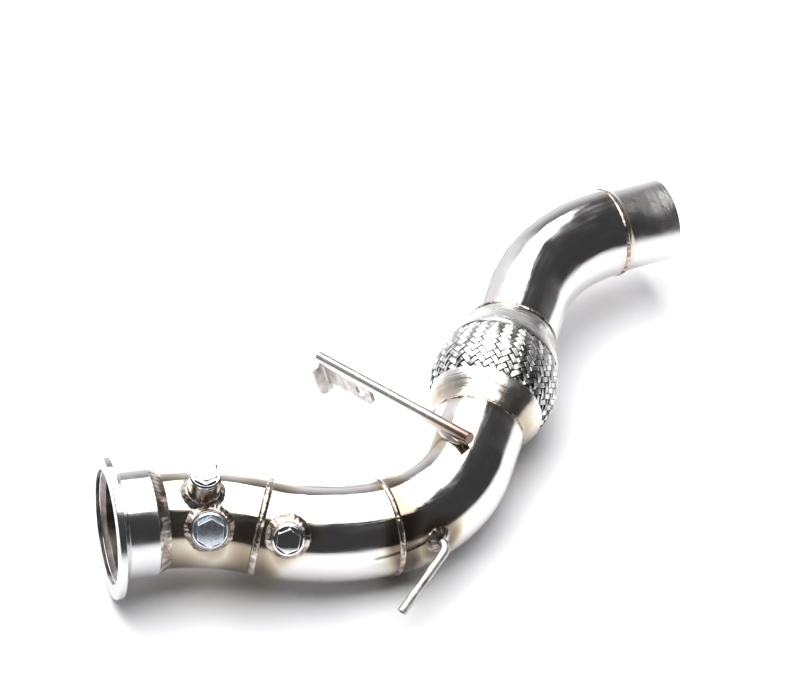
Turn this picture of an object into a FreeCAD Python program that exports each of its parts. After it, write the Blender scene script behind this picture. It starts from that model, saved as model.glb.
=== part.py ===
import FreeCAD, Part
import Sketcher
import math
import os

# Catalyst bypass pipe, in millimetres: a polished stainless exhaust downpipe with a turned
# clamp flange at the inlet, four mandrel-bent tubes, a braided flex joint, three sensor
# bosses with plugs, a pressure pipe and a hanger rod with its bracket.
# The frame's origin is the middle of the inlet face. +X runs into the pipe, +Z is up from
# the table that the pipe rests on, and every bend lies in one plane, tipped as it rests.

Vector = FreeCAD.Vector
Placement = FreeCAD.Placement
Rotation = FreeCAD.Rotation
X_AXIS, Y_AXIS, Z_AXIS = Vector(1, 0, 0), Vector(0, 1, 0), Vector(0, 0, 1)

document = FreeCAD.newDocument("BypassPipe")
sheet = document.addObject("Spreadsheet::Sheet", "Sizes")

# How the pipe rests: on the flange rim, the main bend's weld and the braid
rest_pitch = 3.26
rest_bank = 9.21

# Tube stock and welds
tube_od = 63.5
tube_wall = 1.5
weld_gap = 0.1
weld_width = 5.0
weld_rise = 1.1
tube_id = tube_od - tube_wall * 2

# Inlet flange: a thin lip with a conical back for the clamp, on a thick collar
lip_od = 95.0
lip_rim = 4.6
lip_taper = 4.4
lip_edge = 0.6
collar_od = 72.0
inlet_length = 28.5
mouth_od = 75.0
mouth_depth = 3.0
seat_od = 66.0
seat_depth = 6.0
throat_start = 16.0
throat_taper = 4.0
inlet_weld_length = 8.0

# Bends: radius of the centreline and degrees turned
pipe_one_radius = 172.0
pipe_one_turn = 24.5
pipe_two_radius = 152.0
pipe_two_turn = 31.0
pipe_three_radius = 90.0
pipe_three_turn = 53.0
pipe_three_run = 31.5
pipe_four_run = 33.0
pipe_four_radius = 116.0
pipe_four_turn = 50.0

# Flex joint: spun end caps, woven sleeve, bellows and liner
cap_od = 79.0
cap_wall = 1.2
cap_neck = 3.0
cap_flare = 10.0
lower_cap_length = 21.0
upper_cap_length = 25.5
braid_length = 44.0
braid_od = 88.0
braid_wall = 1.2
braid_tuck = 6.0
braid_bands = 48
band_width = 3.3
band_thickness = 0.9
band_float = 7.3
flex_clearance = 0.3
bellows_folds = 6
bellows_wall = 0.5
liner_wall = 1.0
liner_overlap = 9.0

# Outlet: a smaller slip-in end with a short swaged root
stub_od = 60.0
stub_length = 43.5
stub_root = 2.0
stub_swage = 4.0

# Sensor bosses: where each stands on its tube, and its plug
boss_inset = 1.5
boss_fit = 0.1
thread_fit = 0.15
boss_weld = 4.2
boss_weld_rise = 3.0
boss_chamfer = 0.8
hex_chamfer = 0.4

# Pressure pipe: a short tube that leaves the main bend and turns back along it
pressure_od = 6.3
pressure_bore = 3.6
pressure_place = 19.7
pressure_roll = -68.5
pressure_rise = 4.0
pressure_bend = 8.0
pressure_turn = 76.5
pressure_heading = 115.5
pressure_run = 47.0
pressure_weld = 5.2

# Hanger rod, its weld and the folded sheet bracket at its far end
rod_od = 8.5
rod_place = 79.8
rod_roll = 22.9
rod_heading = 63.0
rod_near = 17.0
rod_far = 133.0
rod_chamfer = 0.6
rod_weld_length = 27.0
rod_weld_width = 15.0
sheet_thickness = 2.5
plate_length = 50.0
plate_height = 17.0
plate_corner = 6.0
plate_hole = 9.5
plate_hole_place = 39.0
leg_width = 10.0
leg_height = 25.0
fold_radius = 1.6

# The three bosses and their plugs: upper and lambda on the first tube, lower on the second
first_boss_place = 32.2
first_boss_roll = -2.5
first_boss_height = 16.5
first_boss_od = 21.5
first_boss_thread = 14.0
first_plug_collar = 21.0
first_plug_collar_height = 2.8
first_plug_hex = 14.5
first_plug_hex_height = 5.5

second_boss_place = 37.3
second_boss_roll = -47.0
second_boss_height = 6.0
second_boss_od = 25.5
second_boss_thread = 18.0
second_plug_collar = 23.5
second_plug_collar_height = 2.4
second_plug_hex = 17.0
second_plug_hex_height = 7.0

third_boss_place = 16.7
third_boss_roll = -43.0
third_boss_height = 16.5
third_boss_od = 21.5
third_boss_thread = 14.0
third_plug_collar = 20.5
third_plug_collar_height = 2.8
third_plug_hex = 14.5
third_plug_hex_height = 5.5

# Each size above becomes a row of the sheet, and its name then stands for that row


class Size:
    """A length or angle that knows its number and the sheet expression it comes from."""

    def __init__(self, value, text):
        self.value = float(value)
        self.text = text

    def joined(self, other, sign, value):
        text = other.text if isinstance(other, Size) else str(other)
        return Size(value, "(%s %s %s)" % (self.text, sign, text))

    def __add__(self, other):
        return self.joined(other, "+", self.value + number(other))

    def __sub__(self, other):
        return self.joined(other, "-", self.value - number(other))

    def __mul__(self, other):
        return self.joined(other, "*", self.value * number(other))

    def __truediv__(self, other):
        return self.joined(other, "/", self.value / number(other))

    def __neg__(self):
        return Size(-self.value, "(0 - %s)" % self.text)


def number(size):
    return size.value if isinstance(size, Size) else float(size)


named_rows = []


def named(alias, value):
    """One driving size: a row of the sheet with its alias."""
    row = len(named_rows) + 1
    named_rows.append(alias)
    sheet.set("A%d" % row, alias)
    sheet.set("B%d" % row, str(value))
    sheet.setAlias("B%d" % row, alias)
    return Size(value, "Sizes.%s" % alias)


for name in [name for name, value in globals().items() if isinstance(value, float)]:
    globals()[name] = named(name, globals()[name])
document.recompute()

# Stations along the centreline: each is a frame whose X axis runs down the pipe


def ahead(length):
    return Placement(Vector(number(length), 0, 0), Rotation())


def bend(radius, degrees, side):
    """Along an arc of the tube, to the left with side 1 and to the right with side -1."""
    angle = math.radians(number(degrees))
    reach = number(radius)
    end = Vector(reach * math.sin(angle), side * reach * (1 - math.cos(angle)), 0)
    return Placement(end, Rotation(Z_AXIS, side * number(degrees)))


def turned(axis, degrees):
    return Placement(Vector(), Rotation(axis, number(degrees)))


LEFT, RIGHT = 1, -1
inlet = turned(Y_AXIS, rest_pitch) * turned(X_AXIS, rest_bank)
at_pipe_1 = inlet * ahead(inlet_length)
at_pipe_2 = at_pipe_1 * bend(pipe_one_radius, pipe_one_turn, RIGHT)
at_pipe_3 = at_pipe_2 * bend(pipe_two_radius, pipe_two_turn, LEFT)
at_flex = at_pipe_3 * bend(pipe_three_radius, pipe_three_turn, LEFT) * ahead(pipe_three_run)
at_braid = at_flex * ahead(lower_cap_length)
at_upper_cap = at_braid * ahead(braid_length)
at_pipe_4 = at_upper_cap * ahead(upper_cap_length)
at_stub = at_pipe_4 * ahead(pipe_four_run) * bend(pipe_four_radius, pipe_four_turn, RIGHT)

# Sketching and features

PLANES = {
    "XY_Plane": Placement(),
    "XZ_Plane": Placement(Vector(), Rotation(X_AXIS, 90)),
    "YZ_Plane": Placement(Vector(), Rotation(Y_AXIS, Z_AXIS, X_AXIS, "XYZ")),
}
ORIGIN, H_AXIS, V_AXIS = -1, -1, -2
nodes = []


def new_body(label, placement):
    body = document.addObject("PartDesign::Body", label)
    body.Label = label
    body.Placement = placement
    nodes.append(body)
    return body


def new_sketch(body, role, seat=Placement()):
    """A sketch on one of the body's own planes, carried to the frame that seat gives."""
    plane = [f for f in body.Origin.OriginFeatures if f.Role == role][0]
    sketch = body.newObject("Sketcher::SketchObject", body.Name + "_sketch")
    sketch.AttachmentSupport = [(plane, "")]
    sketch.MapMode = "FlatFace"
    turn = PLANES[role]
    sketch.AttachmentOffset = turn.inverse() * seat * turn
    return sketch


def hold(sketch, kind, places, size):
    """A driving dimension bound to the sheet."""
    index = sketch.addConstraint(Sketcher.Constraint(kind, *places, number(size)))
    if isinstance(size, Size):
        sketch.setExpression("Constraints[%d]" % index, size.text)


def fix_point(sketch, edge, end, x, y):
    for kind, size, axis in (("DistanceX", x, V_AXIS), ("DistanceY", y, H_AXIS)):
        if isinstance(size, Size):
            hold(sketch, kind, (ORIGIN, 1, edge, end), size)
        elif size == 0:
            sketch.addConstraint(Sketcher.Constraint("PointOnObject", edge, end, axis))
        else:
            hold(sketch, kind, (ORIGIN, 1, edge, end), size)


def outline(sketch, corners):
    """A closed outline. A corner is (x, y), or (x, y, radius) where an arc follows it:
    a radius over 0 bends to the left of the way round, and under 0 to the right."""
    count = len(corners)
    ends = []
    for index, corner in enumerate(corners):
        after = corners[(index + 1) % count]
        start = Vector(number(corner[0]), number(corner[1]), 0)
        stop = Vector(number(after[0]), number(after[1]), 0)
        if len(corner) == 2:
            edge = sketch.addGeometry(Part.LineSegment(start, stop), False)
            ends.append((edge, 1, 2))
            continue
        radius = number(corner[2])
        chord = stop - start
        side = 1 if radius > 0 else -1
        across = Vector(-chord.y, chord.x, 0).normalize()
        rise = math.sqrt(max(0.0, radius * radius - chord.Length ** 2 / 4))
        centre = (start + stop) * 0.5 + across * (side * rise)
        circle = Part.Circle(centre, Z_AXIS, abs(radius))
        first, last = (start, stop) if side > 0 else (stop, start)
        angles = [math.atan2(p.y - centre.y, p.x - centre.x) for p in (first, last)]
        edge = sketch.addGeometry(Part.ArcOfCircle(circle, angles[0], angles[1]), False)
        ends.append((edge, 1, 2) if side > 0 else (edge, 2, 1))
        hold(sketch, "Radius", (edge,), corner[2] if side > 0 else -corner[2])
    for index in range(count):
        edge, _, stop = ends[index]
        following, start, _ = ends[(index + 1) % count]
        sketch.addConstraint(Sketcher.Constraint("Coincident", edge, stop, following, start))
    for index, corner in enumerate(corners):
        edge, start, _ = ends[index]
        fix_point(sketch, edge, start, corner[0], corner[1])


def circle(sketch, diameter, x=0, y=0):
    spot = Vector(number(x), number(y), 0)
    edge = sketch.addGeometry(Part.Circle(spot, Z_AXIS, number(diameter) / 2), False)
    fix_point(sketch, edge, 3, x, y)
    hold(sketch, "Diameter", (edge,), diameter)


def revolve(body, sketch, axis, kind="PartDesign::Revolution", degrees=360, reverse=False):
    feature = body.newObject(kind, body.Name + "_turn")
    feature.Profile = sketch
    feature.ReferenceAxis = (sketch, [axis])
    feature.Angle = number(degrees)
    if isinstance(degrees, Size):
        feature.setExpression("Angle", degrees.text)
    feature.Reversed = reverse
    document.recompute()
    return feature


def extrude(body, sketch, length, kind="PartDesign::Pad", reverse=False, midplane=False):
    feature = body.newObject(kind, body.Name + "_" + kind.split("::")[1].lower())
    feature.Profile = sketch
    feature.Length = number(length)
    if isinstance(length, Size):
        feature.setExpression("Length", length.text)
    feature.Reversed = reverse
    if midplane:
        feature.SideType = "Symmetric"
    document.recompute()
    return feature


def turned_piece(label, placement, corners):
    """A piece turned about the pipe's own axis from its half outline (along, out)."""
    body = new_body(label, placement)
    sketch = new_sketch(body, "XY_Plane")
    outline(sketch, corners)
    revolve(body, sketch, "H_Axis")
    return body


def bend_tube(body, outer, inner, radius, degrees, side, seat=Placement(), kind="PartDesign::Revolution"):
    """A bent tube: its ring section swung about the centre of the bend."""
    sketch = new_sketch(body, "YZ_Plane", seat)
    circle(sketch, outer)
    if inner is not None:
        circle(sketch, inner)
    reach = number(radius) * side
    line = Part.LineSegment(Vector(reach, -1, 0), Vector(reach, 1, 0))
    edge = sketch.addGeometry(line, True)
    sketch.addConstraint(Sketcher.Constraint("Vertical", edge))
    hold(sketch, "DistanceX", (ORIGIN, 1, edge, 1), radius if side > 0 else -radius)
    hold(sketch, "DistanceY", (ORIGIN, 1, edge, 1), -1)
    hold(sketch, "DistanceY", (edge, 1, edge, 2), 2)
    return revolve(body, sketch, "Axis0", kind, degrees, side < 0)


def straight_tube(body, outer, inner, length, seat=Placement()):
    sketch = new_sketch(body, "YZ_Plane", seat)
    circle(sketch, outer)
    circle(sketch, inner)
    return extrude(body, sketch, length)


def drill(body, diameter, seat):
    """A hole through one side of the tube, outward along the seat's Z axis."""
    before = body.Shape.Volume
    sketch = new_sketch(body, "XY_Plane", seat)
    circle(sketch, diameter)
    extrude(body, sketch, tube_od, "PartDesign::Pocket", reverse=True)
    if not body.Shape.Volume < before - 1:
        raise RuntimeError("the hole in %s cuts nothing" % body.Label)


def ring_weld(label, placement, diameter, width):
    """A bead round a butt joint, with an arched back."""
    half, inner = width / 2, diameter / 2 + weld_gap
    arch = (width * width / 4 + weld_rise * weld_rise) / (weld_rise * 2)
    return turned_piece(label, placement, [(-half, inner), (half, inner, arch)])


# Inlet flange: the face, the clamp's cone, the collar and the stepped bore
turned_piece("inlet_flange", inlet, [
    (0, mouth_od / 2),
    (0, lip_od / 2 - lip_edge),
    (lip_edge, lip_od / 2),
    (lip_rim, lip_od / 2),
    (lip_rim + lip_taper, collar_od / 2),
    (inlet_length, collar_od / 2),
    (inlet_length, tube_id / 2),
    (throat_start + throat_taper, tube_id / 2),
    (throat_start, seat_od / 2),
    (seat_depth, seat_od / 2),
    (mouth_depth, mouth_od / 2),
])

collar_step = collar_od / 2 - tube_od / 2
weld_slope = (inlet_weld_length * inlet_weld_length + collar_step * collar_step) / (collar_step * 1.6)
inlet_weld = turned_piece("inlet_weld", at_pipe_1, [
    (0, tube_od / 2 - weld_gap * 3),
    (inlet_weld_length, tube_od / 2 - weld_gap * 3, weld_slope),
    (0, collar_od / 2 - weld_gap * 4),
])

# Sensor bosses: label, distance along its tube, roll to the left of the tube's top,
# boss and plug sizes, and the tube they stand on
first_boss = {
    "place": first_boss_place,
    "roll": first_boss_roll,
    "height": first_boss_height,
    "od": first_boss_od,
    "thread": first_boss_thread,
    "collar": first_plug_collar,
    "collar_height": first_plug_collar_height,
    "hex": first_plug_hex,
    "hex_height": first_plug_hex_height,
}
second_boss = {
    "place": second_boss_place,
    "roll": second_boss_roll,
    "height": second_boss_height,
    "od": second_boss_od,
    "thread": second_boss_thread,
    "collar": second_plug_collar,
    "collar_height": second_plug_collar_height,
    "hex": second_plug_hex,
    "hex_height": second_plug_hex_height,
}
third_boss = {
    "place": third_boss_place,
    "roll": third_boss_roll,
    "height": third_boss_height,
    "od": third_boss_od,
    "thread": third_boss_thread,
    "collar": third_plug_collar,
    "collar_height": third_plug_collar_height,
    "hex": third_plug_hex,
    "hex_height": third_plug_hex_height,
}


def on_tube(place, roll, radius, side):
    """A frame on the tube's axis, its Z pointing out through the wall, roll to the left."""
    degrees = math.degrees(number(place) / number(radius))
    return bend(radius, degrees, side) * turned(X_AXIS, -number(roll))


def hollow_under(body, radius, side):
    """Cuts the tube's own curve out of a bead that lies on it."""
    before = body.Shape.Volume
    bend_tube(body, tube_od + weld_gap * 2, None, radius, 360, side, kind="PartDesign::Groove")
    if not body.Shape.Volume < before - 1:
        raise RuntimeError("the groove under %s cuts nothing" % body.Label)


def clear_round(body, seat, diameter):
    """Cuts a neighbouring boss or bead, round the seat's Z axis, out of a bead."""
    sketch = new_sketch(body, "XZ_Plane", seat)
    foot = tube_od / 2 - boss_weld_rise * 2
    top = tube_od / 2 + boss_weld_rise * 2
    outline(sketch, [
        (0, foot),
        (diameter / 2 + weld_gap, foot),
        (diameter / 2 + weld_gap, top),
        (0, top),
    ])
    revolve(body, sketch, "V_Axis", "PartDesign::Groove")


def saddle_weld(label, tube, seat, radius, side, inner, width, rise):
    """A bead round a boss, hollowed underneath to the curve of its tube."""
    body = new_body(label, tube)
    sketch = new_sketch(body, "XZ_Plane", seat)
    near, far = inner / 2 + weld_gap, inner / 2 + width
    foot, top = tube_od / 2 - rise * 2, tube_od / 2 + rise
    outline(sketch, [
        (near, foot),
        (far, foot),
        (far, tube_od / 2 - rise * 0.4),
        (near + width * 0.45, tube_od / 2 + rise * 0.55),
        (near, top),
    ])
    revolve(body, sketch, "V_Axis")
    hollow_under(body, radius, side)
    return body


def boss_and_plug(prefix, tube, radius, side, sizes):
    seat = on_tube(sizes["place"], sizes["roll"], radius, side)
    foot = tube_id / 2 - boss_inset
    top = tube_od / 2 + sizes["height"]
    thread = sizes["thread"]
    boss = new_body(prefix + "_boss", tube * seat)
    sketch = new_sketch(boss, "XZ_Plane")
    outline(sketch, [
        (thread / 2, foot),
        (sizes["od"] / 2, foot),
        (sizes["od"] / 2, top - boss_chamfer),
        (sizes["od"] / 2 - boss_chamfer, top),
        (thread / 2, top),
    ])
    revolve(boss, sketch, "V_Axis")
    plug = new_body(prefix + "_plug", tube * seat)
    sketch = new_sketch(plug, "XZ_Plane")
    outline(sketch, [
        (0, foot),
        (thread / 2 - thread_fit, foot),
        (thread / 2 - thread_fit, top),
        (sizes["collar"] / 2, top),
        (sizes["collar"] / 2, top + sizes["collar_height"]),
        (0, top + sizes["collar_height"]),
    ])
    revolve(plug, sketch, "V_Axis")
    head = new_sketch(plug, "XY_Plane", Placement(Vector(0, 0, number(top)), Rotation()))
    across = sizes["hex"]
    corner = across / math.sqrt(3)
    outline(head, [
        (corner, 0),
        (corner / 2, across / 2),
        (-corner / 2, across / 2),
        (-corner, 0),
        (-corner / 2, -across / 2),
        (corner / 2, -across / 2),
    ])
    extrude(plug, head, sizes["collar_height"] + sizes["hex_height"])
    # The hexagon's corners are turned off to a cone
    cone = new_sketch(plug, "XZ_Plane")
    crown = top + sizes["collar_height"] + sizes["hex_height"]
    outline(cone, [
        (across / 2 - hex_chamfer, crown),
        (corner + hex_chamfer, crown - corner / 2),
        (corner + hex_chamfer, crown),
    ])
    revolve(plug, cone, "V_Axis", "PartDesign::Groove")
    width, rise = boss_weld, boss_weld_rise
    bead = saddle_weld(prefix + "_boss_weld", tube, seat, radius, side, sizes["od"], width, rise)
    return seat, bead


# Tube 1 turns to the right and carries two bosses
first_seat, first_bead = boss_and_plug("upper", at_pipe_1, pipe_one_radius, RIGHT, first_boss)
second_seat, second_bead = boss_and_plug("lambda", at_pipe_1, pipe_one_radius, RIGHT, second_boss)
clear_round(first_bead, second_seat, second_boss["od"])
clear_round(second_bead, first_seat, first_boss["od"] + boss_weld * 2)
hollow_under(inlet_weld, pipe_one_radius, RIGHT)
pipe_1 = new_body("pipe_1", at_pipe_1)
bend_tube(pipe_1, tube_od, tube_id, pipe_one_radius, pipe_one_turn, RIGHT)
drill(pipe_1, first_boss["od"] + boss_fit * 2, first_seat)
drill(pipe_1, second_boss["od"] + boss_fit * 2, second_seat)
ring_weld("weld_1", at_pipe_2, tube_od, weld_width)

# Tube 2 turns to the left and carries the third boss
third_seat, _ = boss_and_plug("lower", at_pipe_2, pipe_two_radius, LEFT, third_boss)
pipe_2 = new_body("pipe_2", at_pipe_2)
bend_tube(pipe_2, tube_od, tube_id, pipe_two_radius, pipe_two_turn, LEFT)
drill(pipe_2, third_boss["od"] + boss_fit * 2, third_seat)
ring_weld("weld_2", at_pipe_3, tube_od, weld_width)

# Tube 3 is the main bend, with a straight run up to the flex joint
pressure_seat = on_tube(pressure_place, pressure_roll, pipe_three_radius, LEFT)
pipe_3 = new_body("pipe_3", at_pipe_3)
bend_tube(pipe_3, tube_od, tube_id, pipe_three_radius, pipe_three_turn, LEFT)
straight_tube(pipe_3, tube_od, tube_id, pipe_three_run, bend(pipe_three_radius, pipe_three_turn, LEFT))
drill(pipe_3, pressure_od + boss_fit * 2, pressure_seat)
ring_weld("weld_3", at_flex, tube_od, weld_width)

# Pressure pipe: up through the wall, round its own bend, and straight to the open end
heading = pressure_seat * turned(Z_AXIS, pressure_heading)
foot = Placement(Vector(0, 0, number(tube_id) / 2 - number(boss_inset)), Rotation())
pressure_pipe = new_body("pressure_pipe", at_pipe_3 * heading)
upright = Rotation(Y_AXIS, -90)
base = foot * Placement(Vector(), upright)
first_leg = tube_od / 2 + pressure_rise - (tube_id / 2 - boss_inset)
straight_tube(pressure_pipe, pressure_od, pressure_bore, first_leg, base)
knee = base * ahead(first_leg)
bend_tube(pressure_pipe, pressure_od, pressure_bore, pressure_bend, pressure_turn, LEFT, knee)
end = knee * bend(pressure_bend, pressure_turn, LEFT)
straight_tube(pressure_pipe, pressure_od, pressure_bore, pressure_run, end)
saddle_weld("pressure_weld", at_pipe_3, pressure_seat, pipe_three_radius, LEFT,
            pressure_od, pressure_weld, boss_weld_rise)

# Flex joint: two spun caps hold the woven sleeve over a bellows and a liner


def end_cap(label, placement, length, mirror):
    """A spun cap: a neck of the tube's size, a flare, and a skirt over the sleeve's end."""
    skirt, neck = cap_od / 2, tube_od / 2
    flare_end = cap_neck + cap_flare
    corners = [
        (0, neck),
        (cap_neck, neck),
        (cap_neck + cap_flare * 0.5, neck + (skirt - neck) * 0.62),
        (flare_end, skirt),
        (length, skirt),
        (length, skirt - cap_wall),
        (flare_end + cap_wall * 0.3, skirt - cap_wall),
        (cap_neck + cap_flare * 0.5 + cap_wall * 0.7, neck + (skirt - neck) * 0.62 - cap_wall),
        (cap_neck + cap_wall * 0.5, neck - tube_wall),
        (0, neck - tube_wall),
    ]
    if mirror:
        corners = [(length - x, y) if isinstance(x, Size) else (length, y) for x, y in corners]
    return turned_piece(label, placement, corners)


end_cap("flex_lower_cap", at_flex, lower_cap_length, False)
end_cap("flex_upper_cap", at_upper_cap, upper_cap_length, True)
ring_weld("weld_4", at_pipe_4, tube_od, weld_width)

# Woven sleeve: a bulged core whose ends tuck under the caps, and flat bands over it
core_end = cap_od / 2 - cap_wall - flex_clearance
bulge_od = braid_od - band_thickness
bulge = bulge_od / 2 - core_end
arch = (braid_length * braid_length / 4 + bulge * bulge) / (bulge * 2)
core = turned_piece("flex_braid_core", at_braid, [
    (-braid_tuck, core_end - braid_wall),
    (0, core_end - braid_wall, -arch),
    (braid_length, core_end - braid_wall),
    (braid_length + braid_tuck, core_end - braid_wall),
    (braid_length + braid_tuck, core_end),
    (braid_length, core_end, arch),
    (0, core_end),
    (-braid_tuck, core_end),
])


def band_box(along, degrees, slant):
    """One float of a band: a flat box bedded in the sleeve, slanted across its axis."""
    centre = number(braid_length) / 2
    reach = number(arch)
    drop = reach - math.sqrt(reach * reach - (along - centre) ** 2)
    tilt = math.degrees(math.asin((along - centre) / reach))
    size = Vector(number(band_float), number(band_width), number(band_thickness))
    box = Part.makeBox(size.x, size.y, size.z, Vector(-size.x / 2, -size.y / 2, -size.z / 2))
    spot = Vector(along, 0, number(bulge_od) / 2 - drop)
    box.Placement = turned(X_AXIS, degrees) * Placement(spot, Rotation(Y_AXIS, tilt)) * turned(Z_AXIS, slant)
    return box


def woven_bands():
    """Floats at 45 degrees in columns that lean in turn to one side and the other."""
    step = 360.0 / braid_bands
    row = math.pi * (number(braid_od) - number(bulge)) / 2 / braid_bands
    reach = number(braid_length) / 2 - (number(band_float) + number(band_width)) * math.sqrt(0.125)
    boxes = []
    for column in range(braid_bands):
        lean = column % 2
        for level in range(-braid_bands, braid_bands):
            along = (2 * level + lean + 0.5) * row
            if abs(along) <= reach:
                boxes.append(band_box(number(braid_length) / 2 + along, -column * step, 45 - 90 * lean))
    return boxes


# Bellows: a thin folded tube between the caps' necks, and the liner that guards it
bellows_start = cap_flare + cap_neck
bellows_length = braid_length + lower_cap_length + upper_cap_length - bellows_start * 2
liner_od = tube_id - flex_clearance * 2
fold = bellows_length / (bellows_folds * 2)
crest = cap_od / 2 - cap_wall - braid_wall - flex_clearance * 3
root = tube_id / 2 + flex_clearance


def bellows_side(shift):
    """One face of the folded wall, from its first root to its last."""
    side = []
    for index in range(bellows_folds):
        along = fold * (2 * index)
        side.append((along + fold * 0.3 - shift * 0.2, root + shift))
        side.append((along + fold * 0.7 - shift * 0.8, crest + shift))
        side.append((along + fold * 1.3 + shift * 0.8, crest + shift))
        side.append((along + fold * 1.7 + shift * 0.2, root + shift))
    return [(0, root + shift)] + side + [(fold * (2 * bellows_folds), root + shift)]


turned_piece("flex_bellows", at_flex * ahead(bellows_start),
             bellows_side(0) + bellows_side(bellows_wall)[::-1])
liner_length = lower_cap_length + braid_length + liner_overlap
turned_piece("flex_liner", at_flex, [
    (0, liner_od / 2 - liner_wall),
    (liner_length, liner_od / 2 - liner_wall),
    (liner_length, liner_od / 2),
    (0, liner_od / 2),
])

# Tube 4 turns back to the right, and the outlet's slip-in end is welded to it
pipe_4 = new_body("pipe_4", at_pipe_4)
straight_tube(pipe_4, tube_od, tube_id, pipe_four_run)
bend_tube(pipe_4, tube_od, tube_id, pipe_four_radius, pipe_four_turn, RIGHT, ahead(pipe_four_run))
ring_weld("weld_5", at_stub, tube_od, weld_width)
swage_end = stub_root + stub_swage
turned_piece("outlet_stub", at_stub, [
    (0, tube_id / 2),
    (0, tube_od / 2),
    (stub_root, tube_od / 2),
    (swage_end, stub_od / 2),
    (stub_length, stub_od / 2),
    (stub_length, stub_od / 2 - tube_wall),
    (swage_end, stub_od / 2 - tube_wall),
    (stub_root, tube_id / 2),
])

# Hanger rod: a round bar laid across the main bend, in a frame whose X runs to its far end
rod_seat = on_tube(rod_place, rod_roll, pipe_three_radius, LEFT)
rod_height = tube_od / 2 + rod_od / 2 + weld_gap
lifted = Placement(Vector(0, 0, number(rod_height)), Rotation())
rod_frame = rod_seat * lifted * turned(Z_AXIS, rod_heading)
turned_piece("hanger_rod", at_pipe_3 * rod_frame, [
    (-rod_near, 0),
    (-rod_near, rod_od / 2 - rod_chamfer),
    (rod_chamfer - rod_near, rod_od / 2),
    (rod_far - rod_chamfer, rod_od / 2),
    (rod_far, rod_od / 2 - rod_chamfer),
    (rod_far, 0),
])

# Its weld fills the wedge between the bar and the tube on both sides
rod_weld = new_body("rod_weld", at_pipe_3)
section = new_sketch(rod_weld, "YZ_Plane", rod_frame)
weld_foot = -(rod_od + weld_gap)
outline(section, [
    (-rod_weld_width / 2, weld_foot),
    (rod_weld_width / 2, weld_foot),
    (rod_weld_width / 2, -rod_od * 0.62),
    (rod_od * 0.46, rod_od * 0.02),
    (-rod_od * 0.46, rod_od * 0.02),
    (-rod_weld_width / 2, -rod_od * 0.62),
])
extrude(rod_weld, section, rod_weld_length, midplane=True)
hollow_under(rod_weld, pipe_three_radius, LEFT)
channel = new_sketch(rod_weld, "XY_Plane", rod_frame)
outline(channel, [
    (-rod_weld_length, 0),
    (rod_weld_length, 0),
    (rod_weld_length, rod_od / 2 + weld_gap),
    (-rod_weld_length, rod_od / 2 + weld_gap),
])
revolve(rod_weld, channel, "H_Axis", "PartDesign::Groove")

# Bracket: folded sheet, with a plate under the bar's far end and a longer leg across it
bracket = new_body("bracket", at_pipe_3 * rod_frame)
bracket_top = rod_od / 2 + weld_gap
fold_outer = fold_radius + sheet_thickness
strip = new_sketch(bracket, "XY_Plane", Placement(Vector(0, 0, -number(bracket_top)), Rotation()))
plate_start = rod_far - plate_length
outline(strip, [
    (plate_start, -sheet_thickness / 2),
    (rod_far - fold_outer, -sheet_thickness / 2, fold_outer),
    (rod_far, fold_outer - sheet_thickness / 2),
    (rod_far, leg_width),
    (rod_far - sheet_thickness, leg_width),
    (rod_far - sheet_thickness, fold_outer - sheet_thickness / 2, -fold_radius),
    (rod_far - fold_outer, sheet_thickness / 2),
    (plate_start, sheet_thickness / 2),
])
extrude(bracket, strip, leg_height, reverse=True)
plate_foot = -(bracket_top + plate_height)
leg_foot = -(bracket_top + leg_height)
plate_end = rod_far - fold_outer
trim = new_sketch(bracket, "XZ_Plane")
outline(trim, [
    (plate_start - 1, plate_foot + plate_corner),
    (plate_start, plate_foot + plate_corner, plate_corner),
    (plate_start + plate_corner, plate_foot),
    (plate_end, plate_foot),
    (plate_end, leg_foot - 1),
    (plate_start - 1, leg_foot - 1),
])
before_trim = bracket.Shape.Volume
extrude(bracket, trim, leg_width * 4, "PartDesign::Pocket", midplane=True)
hole = new_sketch(bracket, "XZ_Plane")
circle(hole, plate_hole, rod_far - plate_hole_place, -(bracket_top + plate_height * 0.5))
extrude(bracket, hole, leg_width * 4, "PartDesign::Pocket", midplane=True)
round_end = new_sketch(bracket, "YZ_Plane", ahead(rod_far - sheet_thickness * 2))
leg_middle = leg_width / 2 - sheet_thickness / 4
leg_round = leg_width / 2 + sheet_thickness / 4
outline(round_end, [
    (-sheet_thickness / 2, leg_foot + leg_round, leg_round),
    (leg_middle, leg_foot, leg_round),
    (leg_width, leg_foot + leg_round),
    (leg_width + 1, leg_foot + leg_round),
    (leg_width + 1, leg_foot - 1),
    (-sheet_thickness, leg_foot - 1),
    (-sheet_thickness, leg_foot + leg_round),
])
extrude(bracket, round_end, sheet_thickness * 4, "PartDesign::Pocket", reverse=True)
if not bracket.Shape.Volume < before_trim - 1:
    raise RuntimeError("the bracket's outline cuts nothing")

# The sleeve's bands are fused to its core as one woven piece
document.recompute()
nodes.remove(core)
braid = document.addObject("Part::Feature", "flex_braid")
braid.Label = "flex_braid"
braid.Shape = core.Shape.copy().transformed(core.Placement.inverse().toMatrix()).fuse(woven_bands())
braid.Placement = at_braid
nodes.append(braid)

document.recompute()
for item in document.Objects:
    if "Invalid" in item.State or "Error" in item.State:
        raise RuntimeError("%s failed: %s" % (item.Label, item.State))
os.makedirs("parts", exist_ok=True)
for node in nodes:
    shape = node.Shape
    if shape.isNull() or not shape.isValid() or not shape.Solids:
        raise RuntimeError("%s has no sound solid" % node.Label)
    shape.exportStep("parts/%s.step" % node.Label)
    print("%-18s solids %d  faces %4d  volume %9.1f" % (
        node.Label, len(shape.Solids), len(shape.Faces), shape.Volume))
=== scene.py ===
import math

import bpy
from mathutils import Matrix, Vector, noise


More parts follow.
